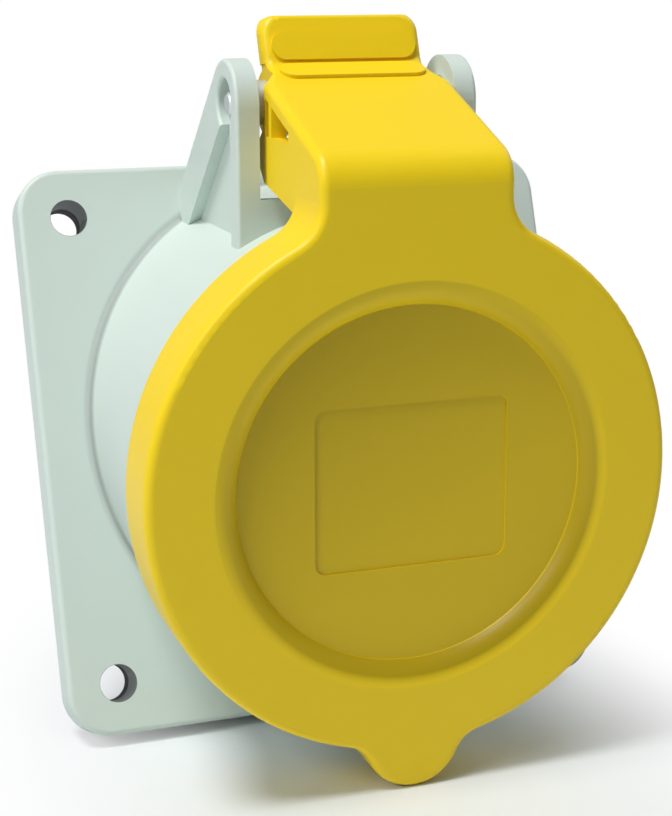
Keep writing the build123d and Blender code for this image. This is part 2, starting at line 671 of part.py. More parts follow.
# Seal carrier: ring between the housing's bore and the contact carrier, grooved for the seal
with BuildPart() as seal_carrier:
    with BuildSketch(SIDE):
        with BuildLine():
            Polyline(
                (BORE_FLOOR, CORE_RADIUS + CORE_GAP),
                (BORE_FLOOR, BASE_RADIUS),
                (SEAL_HEIGHT - GROOVE_WIDTH / 2, BASE_RADIUS),
                (SEAL_HEIGHT - GROOVE_WIDTH / 2, SLEEVE_BORE - 2 * SEAL_WIRE),
                (SEAL_HEIGHT + GROOVE_WIDTH / 2, SLEEVE_BORE - 2 * SEAL_WIRE),
                (SEAL_HEIGHT + GROOVE_WIDTH / 2, BASE_RADIUS),
                (BASE_FRONT, BASE_RADIUS),
                (BASE_FRONT, CORE_RADIUS + CORE_GAP),
                close=True,
            )
        make_face()
    revolve(axis=SLEEVE_AXIS)
seal_carrier.part.label = "seal_carrier"
export_step(seal_carrier.part, "parts/seal_carrier.step")

# Contact carrier: the core that fills the plug's middle, with a shoulder on the seal carrier
with BuildPart() as contact_carrier:
    with BuildSketch(SIDE):
        with BuildLine():
            Polyline(
                (LEDGE_REAR, 0),
                (LEDGE_REAR, CORE_RADIUS),
                (BASE_FRONT, CORE_RADIUS),
                (BASE_FRONT, SHOULDER_RADIUS),
                (BASE_FRONT + SHOULDER_THICK, SHOULDER_RADIUS),
                (BASE_FRONT + SHOULDER_THICK, CORE_RADIUS),
                (CORE_FRONT, CORE_RADIUS),
                (CORE_FRONT, 0),
                close=True,
            )
        make_face()
    revolve(axis=SLEEVE_AXIS)
    fillet(contact_carrier.edges().filter_by(lambda e: height_of(e) > CORE_FRONT - 0.01), CORE_EDGE)
    with BuildSketch(across(LEDGE_REAR)):
        Circle(MIDDLE_BORE)
    extrude(amount=CORE_FRONT - 2 * CORE_FACE - LEDGE_REAR, mode=Mode.SUBTRACT)
    for turn, pin in CONTACTS:
        tube = pin / 2 + PIN_FIT + TUBE_WALL
        with BuildSketch(seat(turn, LEDGE_REAR)):
            Circle(tube + TUBE_GAP)
        extrude(amount=CAVITY_FLOOR - LEDGE_REAR, mode=Mode.SUBTRACT)
        with BuildSketch(seat(turn, CAVITY_FLOOR)):
            Circle(tube + CAVITY_GAP)
        extrude(amount=CORE_FRONT - CORE_FACE - CAVITY_FLOOR, mode=Mode.SUBTRACT)
        with BuildSketch(seat(turn, CORE_FRONT)):
            Circle(pin / 2 + ENTRY_GAP + ENTRY_FLARE)
        extrude(amount=-CORE_FACE, taper=degrees(atan2(ENTRY_FLARE, CORE_FACE)), mode=Mode.SUBTRACT)
    for turn in SCREW_TURNS:
        with BuildSketch(around(turn, SCREW_CIRCLE / 2, LEDGE_REAR)):
            Circle(SCREW_RADIUS + SCREW_GAP)
        extrude(amount=SCREW_BITE + SCREW_HEAD_THICK, mode=Mode.SUBTRACT)
contact_carrier.part.label = "contact_carrier"
export_step(contact_carrier.part, "parts/contact_carrier.step")

# Carrier seal: O-ring in the carrier's groove
with BuildPart() as carrier_seal:
    with BuildSketch(SIDE):
        with Locations((SEAL_HEIGHT, SLEEVE_BORE - SEAL_WIRE)):
            Circle(SEAL_WIRE)
    revolve(axis=SLEEVE_AXIS)
carrier_seal.part.label = "carrier_seal"
export_step(carrier_seal.part, "parts/carrier_seal.step")

# Terminal block: disc behind the ledge, with a tower round each terminal
with BuildPart() as terminal_block:
    with BuildSketch(across(LEDGE_REAR)):
        Circle(TAIL_BORE - BLOCK_CLEARANCE)
    extrude(amount=-BLOCK_DISC)
    with BuildSketch(across(BLOCK_REAR)):
        Circle(HUB_RADIUS)
    extrude(amount=-HUB_LENGTH)
    for turn, pin in CONTACTS:
        with BuildSketch(seat(turn, BLOCK_REAR)):
            Circle(TOWER_RADIUS)
        extrude(amount=TOWER_END - BLOCK_REAR)
    for turn, pin in CONTACTS:
        collar = pin / 2 + PIN_FIT + TUBE_WALL + COLLAR_PROUD
        with BuildSketch(seat(turn, LEDGE_REAR)):
            Circle(collar + COUNTERBORE_GAP)
        extrude(amount=-COLLAR_THICK, mode=Mode.SUBTRACT)
        with BuildSketch(seat(turn, LEDGE_REAR)):
            Circle(TERMINAL_RADIUS + COUNTERBORE_GAP)
        extrude(amount=TOWER_END - LEDGE_REAR, mode=Mode.SUBTRACT)
        with BuildSketch(clamp_plane(turn, 0)):
            Circle(CLAMP_ACCESS)
        extrude(amount=2 * TOWER_RADIUS, mode=Mode.SUBTRACT)
    for turn in SCREW_TURNS:
        with BuildSketch(around(turn, SCREW_CIRCLE / 2, LEDGE_REAR)):
            Circle(SCREW_RADIUS + 2 * SCREW_GAP)
        extrude(amount=-BLOCK_DISC, mode=Mode.SUBTRACT)
terminal_block.part.label = "terminal_block"
export_step(terminal_block.part, "parts/terminal_block.step")

# Assembly screws: through the block into the carrier, with the ledge held between them
with BuildPart() as assembly_screws:
    for turn in SCREW_TURNS:
        with BuildSketch(around(turn, SCREW_CIRCLE / 2, BLOCK_REAR)):
            Circle(SCREW_RADIUS)
        extrude(amount=BLOCK_DISC + SCREW_BITE)
        with BuildSketch(around(turn, SCREW_CIRCLE / 2, BLOCK_REAR)):
            Circle(SCREW_HEAD_RADIUS)
        extrude(amount=-SCREW_HEAD_THICK)
    head_end = BLOCK_REAR - SCREW_HEAD_THICK
    head_rims = assembly_screws.edges().filter_by(lambda e: height_of(e) < head_end + 0.01)
    fillet(head_rims, SCREW_HEAD_THICK / 3)
    for turn in SCREW_TURNS:
        with BuildSketch(around(turn, SCREW_CIRCLE / 2, head_end)):
            Rectangle(SCREW_HEAD_RADIUS, CLAMP_SLOT)
            Rectangle(CLAMP_SLOT, SCREW_HEAD_RADIUS)
        extrude(amount=CLAMP_SLOT_DEPTH, mode=Mode.SUBTRACT)
assembly_screws.part.label = "assembly_screws"
export_step(assembly_screws.part, "parts/assembly_screws.step")


def slotted_contact(turn, pin):
    """Tube with four spring fingers, a collar behind the carrier, and a bored terminal."""
    bore = pin / 2 + PIN_FIT
    tube = bore + TUBE_WALL
    with BuildPart() as contact:
        with BuildSketch(seat(turn, LEDGE_REAR)):
            Circle(tube)
        extrude(amount=TUBE_FRONT - LEDGE_REAR)
        with BuildSketch(seat(turn, LEDGE_REAR)):
            Circle(tube + COLLAR_PROUD)
        extrude(amount=-COLLAR_THICK)
        with BuildSketch(seat(turn, LEDGE_REAR - COLLAR_THICK)):
            Circle(TERMINAL_RADIUS)
        extrude(amount=TERMINAL_END - LEDGE_REAR + COLLAR_THICK)
        with BuildSketch(seat(turn, CONTACT_FLOOR)):
            Circle(bore)
        extrude(amount=TUBE_FRONT - CONTACT_FLOOR, mode=Mode.SUBTRACT)
        with BuildSketch(seat(turn, TERMINAL_END)):
            Circle(WIRE_RADIUS)
        extrude(amount=WIRE_DEPTH, mode=Mode.SUBTRACT)
        rims = contact.edges().filter_by(GeomType.CIRCLE)
        chamfer(rims.filter_by(lambda e: height_of(e) > TUBE_FRONT - 0.01), TUBE_CHAMFER)
        chamfer(rims.filter_by(lambda e: height_of(e) < TERMINAL_END + 0.01), TUBE_CHAMFER)
        with BuildSketch(seat(turn, TUBE_FRONT - SLOT_DEPTH)):
            Rectangle(3 * tube, SLOT_WIDTH)
            Rectangle(SLOT_WIDTH, 3 * tube)
        extrude(amount=SLOT_DEPTH, mode=Mode.SUBTRACT)
        with BuildSketch(clamp_plane(turn, 0)):
            Circle(CLAMP_RADIUS + SCREW_GAP)
        extrude(amount=2 * TERMINAL_RADIUS, mode=Mode.SUBTRACT)
        with BuildSketch(clamp_plane(turn, 0)):
            RectangleRounded(PAD_LENGTH + 2 * PAD_PLAY, PAD_WIDTH + 2 * PAD_PLAY, PAD_THICK)
        extrude(amount=CLAMP_REACH + PAD_PLAY, mode=Mode.SUBTRACT)
    return contact


def spring_clip(turn, pin):
    """Open ring round a contact's fingers."""
    tube = pin / 2 + PIN_FIT + TUBE_WALL
    with BuildPart() as clip:
        with BuildSketch(seat(turn, CLIP_HEIGHT)):
            Circle(tube + CLIP_THICK)
            Circle(tube, mode=Mode.SUBTRACT)
            with Locations((tube, 0)):
                Rectangle(2 * tube, CLIP_OPEN, mode=Mode.SUBTRACT)
        extrude(amount=CLIP_WIDTH)
    return clip


def clamp_screw(turn):
    """Headless slotted screw, square to the terminal it is in."""
    with BuildPart() as screw:
        with BuildSketch(clamp_plane(turn, CLAMP_REACH)):
            Circle(CLAMP_RADIUS)
        extrude(amount=CLAMP_LENGTH)
        chamfer(screw.edges().filter_by(GeomType.CIRCLE), PIN_FIT * 3)
        with BuildSketch(clamp_plane(turn, CLAMP_REACH + CLAMP_LENGTH - CLAMP_SLOT_DEPTH)):
            Rectangle(3 * CLAMP_RADIUS, CLAMP_SLOT)
        extrude(amount=CLAMP_SLOT_DEPTH, mode=Mode.SUBTRACT)
    return screw


def clamp_pad(turn):
    """Pressure pad between a clamp screw and the wire."""
    with BuildPart() as pad:
        with BuildSketch(clamp_plane(turn, CLAMP_REACH - PAD_THICK)):
            RectangleRounded(PAD_LENGTH, PAD_WIDTH, PAD_THICK)
        extrude(amount=PAD_THICK)
    return pad


# Contacts, their clips, clamp screws and pads
earth_contact = slotted_contact(*CONTACTS[0])
earth_contact.part.label = "earth_contact"
export_step(earth_contact.part, "parts/earth_contact.step")
line_contact_1 = slotted_contact(*CONTACTS[1])
line_contact_1.part.label = "line_contact_1"
export_step(line_contact_1.part, "parts/line_contact_1.step")
line_contact_2 = slotted_contact(*CONTACTS[2])
line_contact_2.part.label = "line_contact_2"
export_step(line_contact_2.part, "parts/line_contact_2.step")
earth_clip = spring_clip(*CONTACTS[0])
earth_clip.part.label = "earth_clip"
export_step(earth_clip.part, "parts/earth_clip.step")
line_clip_1 = spring_clip(*CONTACTS[1])
line_clip_1.part.label = "line_clip_1"
export_step(line_clip_1.part, "parts/line_clip_1.step")
line_clip_2 = spring_clip(*CONTACTS[2])
line_clip_2.part.label = "line_clip_2"
export_step(line_clip_2.part, "parts/line_clip_2.step")
earth_screw = clamp_screw(CONTACTS[0][0])
earth_screw.part.label = "earth_screw"
export_step(earth_screw.part, "parts/earth_screw.step")
line_screw_1 = clamp_screw(CONTACTS[1][0])
line_screw_1.part.label = "line_screw_1"
export_step(line_screw_1.part, "parts/line_screw_1.step")
line_screw_2 = clamp_screw(CONTACTS[2][0])
line_screw_2.part.label = "line_screw_2"
export_step(line_screw_2.part, "parts/line_screw_2.step")
earth_pad = clamp_pad(CONTACTS[0][0])
earth_pad.part.label = "earth_pad"
export_step(earth_pad.part, "parts/earth_pad.step")
line_pad_1 = clamp_pad(CONTACTS[1][0])
line_pad_1.part.label = "line_pad_1"
export_step(line_pad_1.part, "parts/line_pad_1.step")
line_pad_2 = clamp_pad(CONTACTS[2][0])
line_pad_2.part.label = "line_pad_2"
export_step(line_pad_2.part, "parts/line_pad_2.step")
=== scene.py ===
"""Looks, floor, light and camera for an angled panel socket outlet with a sprung lid.

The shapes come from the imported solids. A class for each sub-assembly dresses them, and Studio adds
what stands round the object. Lengths are metres, with -Y towards the user.
"""
import logging
import math
from dataclasses import dataclass
from enum import Enum

import bpy
from mathutils import Matrix, Vector


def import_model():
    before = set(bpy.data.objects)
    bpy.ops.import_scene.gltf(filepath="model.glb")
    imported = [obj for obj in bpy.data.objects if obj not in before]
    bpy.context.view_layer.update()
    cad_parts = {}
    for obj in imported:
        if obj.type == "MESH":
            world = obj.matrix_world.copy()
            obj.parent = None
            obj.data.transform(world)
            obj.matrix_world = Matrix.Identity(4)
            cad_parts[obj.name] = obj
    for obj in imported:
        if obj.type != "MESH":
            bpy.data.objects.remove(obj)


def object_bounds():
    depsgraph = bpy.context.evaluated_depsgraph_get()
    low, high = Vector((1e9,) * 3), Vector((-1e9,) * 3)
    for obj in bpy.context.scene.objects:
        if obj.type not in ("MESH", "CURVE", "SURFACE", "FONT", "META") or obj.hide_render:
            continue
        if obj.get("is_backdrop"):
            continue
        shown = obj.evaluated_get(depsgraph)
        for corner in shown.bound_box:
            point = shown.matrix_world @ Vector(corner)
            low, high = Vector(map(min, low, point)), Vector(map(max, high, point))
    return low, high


LOG = logging.getLogger("socket_outlet")

Colour = tuple[float, float, float]
Point = tuple[float, float, float]
Range = tuple[float, float]
Stops = tuple[tuple[float, float], ...]
Node = bpy.types.Node
Socket = bpy.types.NodeSocket

OPAQUE = 1.0
WHITE = (1.0, 1.0, 1.0, OPAQUE)

# The sleeve's axis, the way the panel faces and the hinge pin's axis.
OUTWARD = (0.0, -0.93759, -0.34775)
TO_USER = (0.0, -1.0, 0.0)
ACROSS = (1.0, 0.0, 0.0)


class Skin(Enum):
    """The skins that more than one finish uses, each with its node group's name."""

    MOULDED = "moulded_skin"
    MACHINED = "machined_metal"


class Role(Enum):
    """What a lamp does for the picture."""

    KEY = "key"
    FILL = "fill"
    RIM = "rim"
    BACK = "back"


def linear(red: int, green: int, blue: int) -> Colour:
    """Turn screen colour values from 0 to 255 into the renderer's linear ones.

    Args:
        red: Red, 0 to 255.
        green: Green, 0 to 255.
        blue: Blue, 0 to 255.

    Returns:
        The same colour as three linear values from 0 to 1.
    """
    full, toe, toe_slope, lift, gain, power = 255, 0.04045, 12.92, 0.055, 1.055, 2.4
    values = []
    for share in (red / full, green / full, blue / full):
        values.append(share / toe_slope if share <= toe else ((share + lift) / gain) ** power)
    return tuple(values)


@dataclass
class Wiring:
    """Adds nodes to one tree, set and linked in one step."""

    tree: bpy.types.NodeTree

    @property
    def surface(self) -> Node:
        """Give the material's Principled shader."""
        return self.tree.nodes["Principled BSDF"]

    def feed(self, node: Node, feeds: dict[str | int, object]) -> None:
        """Set or link a node's inputs.

        Args:
            node: The node.
            feeds: What goes into each input, by name or number: a socket or a plain value.
        """
        for name, value in feeds.items():
            if isinstance(value, Socket):
                self.tree.links.new(value, node.inputs[name])
            else:
                node.inputs[name].default_value = value

    def add(
        self, kind: str, feeds: dict[str | int, object] | None = None, **settings: object
    ) -> Node:
        """Add a shader node.

        Args:
            kind: The node's type without the word ShaderNode.
            feeds: What goes into each input, by name or number: a socket or a plain value.
            settings: The node's own settings.

        Returns:
            The new node.
        """
        node = self.tree.nodes.new("ShaderNode" + kind)
        for name, value in settings.items():
            setattr(node, name, value)
        self.feed(node, feeds or {})
        return node

    def place(self) -> Socket:
        """Give the place on the piece, in metres of the whole object's frame."""
        return self.add("TexCoord").outputs["Object"]

    def numbers(self, operation: str, *values: Socket | float) -> Socket:
        """Combine numbers by one operation of the Math node."""
        return self.add("Math", dict(enumerate(values)), operation=operation).outputs["Value"]

    def vectors(self, operation: str, *values: Socket | Point) -> Socket:
        """Combine vectors by one operation of the Vector Math node that gives a vector."""
        node = self.add("VectorMath", dict(enumerate(values)), operation=operation)
        return node.outputs["Vector"]

    def minus(self, arm: Socket, start: Point) -> Socket:
        """Give the vector from a fixed point to a place."""
        return self.vectors("SUBTRACT", arm, start)

    def times(self, one: Socket, other: Socket | float) -> Socket:
        """Multiply two numbers."""
        return self.numbers("MULTIPLY", one, other)

    def tinted(self, colour: Socket | Colour, share: Socket) -> Socket:
        """Scale a colour by a share that changes over the surface."""
        node = self.add("VectorMath", {0: colour, "Scale": share}, operation="SCALE")
        return node.outputs["Vector"]

    def length(self, arm: Socket) -> Socket:
        """Give a vector's length."""
        return self.add("VectorMath", {0: arm}, operation="LENGTH").outputs["Value"]

    def along(self, arm: Socket, way: Point) -> Socket:
        """Give the reach of a vector in one direction."""
        return self.add("VectorMath", {0: arm, 1: way}, operation="DOT_PRODUCT").outputs["Value"]

    def from_axis(self, arm: Socket, axis: Point) -> Socket:
        """Give a vector's distance from an axis of length 1 through its start."""
        return self.length(self.vectors("CROSS_PRODUCT", arm, axis))

    def near(self, value: Socket, middle: float, band: float) -> Socket:
        """Make a mask that is 1 at a value and fades to 0 on both sides.

        Args:
            value: The value.
            middle: Where the mask is 1.
            band: How far it reaches on each side.

        Returns:
            The mask's socket.
        """
        away = self.numbers("SUBTRACT", value, middle)
        size = self.numbers("ABSOLUTE", away)
        return self.grade(size, (0.0, band), (1.0, 0.0))

    def grade(self, value: Socket, given: Range, wanted: Range, **settings: object) -> Socket:
        """Turn one range of values into another, and hold it at both ends.

        Args:
            value: The value.
            given: Its range.
            wanted: The new range.
            settings: The Map Range node's own settings.

        Returns:
            The socket with the new value.
        """
        ends = ("From Min", "From Max", "To Min", "To Max")
        feeds = {"Value": value, **dict(zip(ends, (*given, *wanted)))}
        return self.add("MapRange", feeds, **settings).outputs["Result"]

    def ramp(self, value: Socket, stops: Stops) -> Socket:
        """Give a tone that runs through stops.

        Args:
            value: Where on the ramp, from 0 to 1.
            stops: Place and tone of each stop.

        Returns:
            The socket with the tone.
        """
        node = self.add("ValToRGB", {"Fac": value})
        elements = node.color_ramp.elements
        ready = len(elements)
        for index, (at, tone) in enumerate(stops):
            stop = elements[index] if index < ready else elements.new(at)
            stop.position = at
            stop.color = (tone, tone, tone, OPAQUE)
        return node.outputs["Color"]

    def blend(self, share: Socket, low: Socket | float, high: Socket | float) -> Socket:
        """Give a number that goes from low to high as the share goes from 0 to 1."""
        return self.add("Mix", {"Factor": share, "A": low, "B": high}).outputs["Result"]

    def put_out(self, output: str, share: Socket, plain: Socket, white: Socket) -> None:
        """Send a mix of a plain and a white shader to the output node of that name."""
        mix = self.add("MixShader", {0: share, 1: plain, 2: white})
        self.feed(self.tree.nodes[output], {"Surface": mix.outputs["Shader"]})


class SkinGroups:
    """Builds the node group of each skin, once."""

    NOISE_MIDDLE = 0.5
    DRIFT_SCALE, DRIFT_DETAIL = 55.0, 3.0
    GRAIN_DETAIL = 2.0
    ROUGHNESS_SPREAD = 0.06
    PATCH_SCALE, PATCH_DETAIL = 260.0, 4.0
    PATCH_ROUGHNESS = 0.18
    STREAK_SCALES = (3000.0, 250.0, 3000.0)

    @classmethod
    def get(cls, skin: Skin) -> bpy.types.NodeTree:
        """Give a skin's node group, and build it the first time.

        Args:
            skin: The skin.

        Returns:
            A group with Colour, Roughness and Height outputs.
        """
        if skin.value not in bpy.data.node_groups:
            builders = {Skin.MOULDED: cls.moulded, Skin.MACHINED: cls.machined}
            builders[skin]()
        return bpy.data.node_groups[skin.value]

    @staticmethod
    def start(skin: Skin, **inputs: Colour | float) -> tuple[Wiring, Node, Node]:
        """Make a group with named inputs and the outputs that all skins have.

        Args:
            skin: The skin.
            inputs: The default of each input, with _ for the spaces of its name.

        Returns:
            What adds the group's nodes, its input node and its output node.
        """
        group = bpy.data.node_groups.new(skin.value, "ShaderNodeTree")
        face, number, colour = group.interface, "NodeSocketFloat", "NodeSocketColor"
        for name, value in inputs.items():
            kind, label = colour if isinstance(value, tuple) else number, name.replace("_", " ")
            made = face.new_socket(name=label, in_out="INPUT", socket_type=kind)
            made.default_value = (*value, OPAQUE) if isinstance(value, tuple) else value
        for name, kind in (("Colour", colour), ("Roughness", number), ("Height", number)):
            face.new_socket(name=name, in_out="OUTPUT", socket_type=kind)
        return Wiring(group), group.nodes.new("NodeGroupInput"), group.nodes.new("NodeGroupOutput")

    @classmethod
    def moulded(cls) -> None:
        """Build the satin skin of moulded plastic and rubber: slow tone drift and fine grain."""
        wiring, given, out = cls.start(
            Skin.MOULDED,
            Tone=(0.5, 0.5, 0.5),
            Drift=0.04,
            Grain_Scale=2500.0,
            Roughness=0.4,
            Roughness_Spread=cls.ROUGHNESS_SPREAD,
        )
        value, place = given.outputs, wiring.place()
        drift = {"Vector": place, "Scale": cls.DRIFT_SCALE, "Detail": cls.DRIFT_DETAIL}
        grain = {"Vector": place, "Scale": value["Grain Scale"], "Detail": cls.GRAIN_DETAIL}
        slow, fine = wiring.add("TexNoise", drift), wiring.add("TexNoise", grain)
        swing = wiring.numbers("SUBTRACT", slow.outputs["Fac"], cls.NOISE_MIDDLE)
        share = wiring.numbers("MULTIPLY_ADD", swing, value["Drift"], 1.0)
        gloss = wiring.numbers(
            "MULTIPLY_ADD", swing, value["Roughness Spread"], value["Roughness"]
        )
        wiring.feed(out, {
            "Colour": wiring.tinted(value["Tone"], share),
            "Roughness": gloss,
            "Height": fine.outputs["Fac"],
        })

    @classmethod
    def machined(cls) -> None:
        """Build the skin of turned or drawn metal: dull patches over fine streaks."""
        wiring, given, out = cls.start(
            Skin.MACHINED, Clean=(0.6, 0.6, 0.6), Dull=(0.4, 0.4, 0.4), Roughness=0.3
        )
        value, place = given.outputs, wiring.place()
        patches = {"Vector": place, "Scale": cls.PATCH_SCALE, "Detail": cls.PATCH_DETAIL}
        patch = wiring.add("TexNoise", patches).outputs["Fac"]
        stretched = wiring.add("Mapping", {"Vector": place, "Scale": cls.STREAK_SCALES})
        streak = wiring.add("TexNoise", {"Vector": stretched.outputs["Vector"], "Scale": 1.0})
        tones = {"Factor": patch, "A": value["Clean"], "B": value["Dull"]}
        wiring.feed(out, {
            "Colour": wiring.add("Mix", tones, data_type="RGBA").outputs["Result"],
            "Roughness": wiring.numbers(
                "MULTIPLY_ADD", patch, cls.PATCH_ROUGHNESS, value["Roughness"]
            ),
            "Height": streak.outputs["Fac"],
        })


def new_material(name: str) -> tuple[bpy.types.Material, Wiring]:
    """Make a material with a Principled shader.

    Args:
        name: The material's name.

    Returns:
        The material, and what adds its nodes.
    """
    material = bpy.data.materials.new(name)
    material.use_nodes = True
    return material, Wiring(material.node_tree)


def put_skin(
    wiring: Wiring, skin: Skin, values: dict[str, object], strength: float, depth: float
) -> None:
    """Place a skin in a material and connect it to the Principled shader.

    Args:
        wiring: Adds nodes to the material.
        skin: The skin.
        values: What goes into the skin's inputs.
        strength: How strongly the grain turns the normal.
        depth: The grain's depth in metres.
    """
    group = wiring.add("Group", values, node_tree=SkinGroups.get(skin))
    relief = {"Strength": strength, "Distance": depth, "Height": group.outputs["Height"]}
    wiring.feed(wiring.surface, {
        "Base Color": group.outputs["Colour"],
        "Roughness": group.outputs["Roughness"],
        "Normal": wiring.add("Bump", relief).outputs["Normal"],
    })


@dataclass(frozen=True)
class MouldedFinish:
    """Moulded plastic or rubber."""

    name: str
    colour: Colour
    roughness: float
    drift: float = 0.05
    grain_scale: float = 2600.0
    grain_depth: float = 0.00002
    grain_strength: float = 0.12
    specular: float = 0.5

    def tone(self, wiring: Wiring) -> Socket | tuple[float, ...]:
        """Give the tone that the skin starts from: one colour all over."""
        return (*self.colour, OPAQUE)

    def material(self) -> bpy.types.Material:
        """Build the finish's material.

        Returns:
            The material.
        """
        material, wiring = new_material(self.name)
        values = {
            "Tone": self.tone(wiring),
            "Drift": self.drift,
            "Grain Scale": self.grain_scale,
            "Roughness": self.roughness,
        }
        put_skin(wiring, Skin.MOULDED, values, self.grain_strength, self.grain_depth)
        wiring.feed(wiring.surface, {"Specular IOR Level": self.specular})
        return material


@dataclass(frozen=True)
class ShadedFinish(MouldedFinish):
    """Moulded plastic with painted shade: its tone changes with the place on the piece."""

    def tone(self, wiring: Wiring) -> Socket | tuple[float, ...]:
        """Give the tone that the skin starts from: each place's share of the colour."""
        return wiring.tinted(self.colour, self.share(wiring, wiring.place()))

    def share(self, wiring: Wiring, place: Socket) -> Socket:
        """Give the share of the colour that each place keeps."""
        raise NotImplementedError


@dataclass(frozen=True)
class RecessedFinish(ShadedFinish):
    """The lid's plastic, with painted shade in its recess: the floor darker overall and towards the
    upper left, the wall darker towards the lower right.
    """

    centre: Point = (0.0, -0.049316, -0.013053)
    # Painted shade: the recess floor darkens towards this side, the upper left.
    shady_side: Point = (-0.5, -0.30116, 0.81197)
    # Painted shade: the recess wall darkens towards this side, the lower right.
    dusty_side: Point = (0.6, 0.2782, -0.7501)
    radius: float = 0.0283
    rim_share: float = 0.99
    depth: float = 0.0025
    # Painted shade: the sunk floor keeps 0.76 of the colour.
    floor_stops: Stops = ((0.80, 1.0), (0.88, 0.76))
    wall_stops: Stops = ((0.0, 0.0), (0.14, 1.0), (0.80, 1.0), (0.88, 0.0))
    floor_start: float = -0.3
    # Painted shade on the floor, from 1.03 towards the lower right to 0.78 at the upper left.
    floor_tones: Range = (1.03, 0.78)
    # Painted shade on the wall, from 0.95 at the upper left to 0.42 at the lower right.
    wall_tones: Range = (0.95, 0.42)

    def share(self, wiring: Wiring, place: Socket) -> Socket:
        """Paint shade into the recess's floor and wall.

        Args:
            wiring: Adds nodes to the material.
            place: The place on the lid.

        Returns:
            The socket with the share of the colour that stays.
        """
        arm = wiring.minus(place, self.centre)
        rim = (self.radius, self.rim_share * self.radius)
        inside = wiring.grade(wiring.length(arm), rim, (0.0, 1.0))
        sunk = wiring.grade(wiring.along(arm, OUTWARD), (0.0, -self.depth), (0.0, 1.0))
        # Painted shade across the floor, darker towards the upper left.
        shady_span = (self.floor_start * self.radius, self.radius)
        shade = wiring.grade(wiring.along(arm, self.shady_side), shady_span, self.floor_tones)
        # Painted shade on the wall, darker towards the lower right.
        wall_shade_span = (-self.radius, self.radius)
        wall = wiring.grade(wiring.along(arm, self.dusty_side), wall_shade_span, self.wall_tones)
        floor = wiring.times(wiring.ramp(sunk, self.floor_stops), shade)
        recess = wiring.blend(wiring.ramp(sunk, self.wall_stops), floor, wall)
        return wiring.blend(inside, 1.0, recess)


@dataclass(frozen=True)
class RootedFinish(ShadedFinish):
    """The housing's plastic, with painted shade in the sleeve's root, on the fixing holes' walls and
    in the pin's pockets.
    """

    foot: Point = (0.0, -0.009, 0.0019)
    root_radius: float = 0.03505
    root_rise: float = 0.0003
    root_band: float = 0.0011
    # Painted shade: a dark line where the sleeve meets the flange keeps 0.45 of the colour.
    root_tone: float = 0.45
    hole_centre: Point = (0.035, 0.0, 0.035)
    hole_radius: float = 0.00276
    hole_blur: float = 0.00006
    # Painted shade: the fixing holes' walls keep 0.12 of the colour.
    hole_tone: float = 0.12
    hinge: Point = (0.0, -0.03927, 0.043254)
    pocket_radius: float = 0.00348
    pocket_blur: float = 0.0002
    # Painted shade: the pin's pockets keep 0.6 of the colour.
    pocket_tone: float = 0.6

    def share(self, wiring: Wiring, place: Socket) -> Socket:
        """Paint shade into the sleeve's root, the fixing holes and the pin's pockets.

        Args:
            wiring: Adds nodes to the material.
            place: The place on the housing.

        Returns:
            The socket with the share of the colour that stays.
        """
        arm = wiring.minus(place, self.foot)
        beside = wiring.near(wiring.from_axis(arm, OUTWARD), self.root_radius, self.root_band)
        above = wiring.near(wiring.along(arm, TO_USER), self.root_rise, self.root_band)
        root = wiring.grade(wiring.times(beside, above), (0.0, 1.0), (1.0, self.root_tone))
        folded = wiring.vectors("ABSOLUTE", place)
        hole_reach = wiring.from_axis(wiring.minus(folded, self.hole_centre), TO_USER)
        hole_edge = (self.hole_radius, self.hole_radius + self.hole_blur)
        hole = wiring.grade(hole_reach, hole_edge, (self.hole_tone, 1.0))
        pin_reach = wiring.from_axis(wiring.minus(place, self.hinge), ACROSS)
        pocket_edge = (self.pocket_radius - self.pocket_blur, self.pocket_radius)
        pocket = wiring.grade(pin_reach, pocket_edge, (self.pocket_tone, 1.0))
        return wiring.times(wiring.times(root, hole), pocket)


@dataclass(frozen=True)
class MetalFinish:
    """Turned, drawn or plated metal."""

    name: str
    clean: Colour
    dull: Colour
    roughness: float
    streak_depth: float = 0.00001
    streak_strength: float = 0.15

    def material(self) -> bpy.types.Material:
        """Build the finish's material.

        Returns:
            The material.
        """
        material, wiring = new_material(self.name)
        values = {
            "Clean": (*self.clean, OPAQUE),
            "Dull": (*self.dull, OPAQUE),
            "Roughness": self.roughness,
        }
        put_skin(wiring, Skin.MACHINED, values, self.streak_strength, self.streak_depth)
        wiring.feed(wiring.surface, {"Metallic": 1.0})
        return material


def dress(material: bpy.types.Material, *names: str) -> None:
    """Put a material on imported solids.

    Args:
        material: The material.
        names: The solids' node names.
    """
    for name in names:
        for holder in bpy.data.objects[name].material_slots:
            holder.material = material
        LOG.info("dressed %s in %s", name, material.name)


@dataclass
class PanelHousing:
    """The grey housing and the gasket behind its flange."""

    finish: RootedFinish = RootedFinish(
        "housing_grey", linear(207, 220, 212), 0.42, drift=0.03, specular=0.4
    )
    gasket: MouldedFinish = MouldedFinish("gasket_black", linear(34, 34, 35), 0.75, drift=0.3)

    def build(self) -> None:
        """Dress the housing and its gasket."""
        dress(self.finish.material(), "housing")
        dress(self.gasket.material(), "panel_gasket")


@dataclass
class SprungLid:
    """The yellow lid, its seal, its pin and its spring."""

    finish: RecessedFinish = RecessedFinish(
        "lid_yellow", linear(245, 211, 24), 0.40, drift=0.03, specular=0.3
    )
    seal: MouldedFinish = MouldedFinish("seal_black", linear(30, 30, 31), 0.7, drift=0.3)
    zinc: MetalFinish = MetalFinish(
        "pin_zinc", linear(236, 240, 240), linear(206, 212, 212), 0.45
    )
    steel: MetalFinish = MetalFinish(
        "spring_steel", linear(196, 197, 200), linear(150, 150, 154), 0.2
    )

    def build(self) -> None:
        """Dress the lid's pieces."""
        dress(self.finish.material(), "lid")
        dress(self.seal.material(), "lid_gasket")
        dress(self.zinc.material(), "hinge_pin", "hinge_spacers")
        dress(self.steel.material(), "lid_spring")


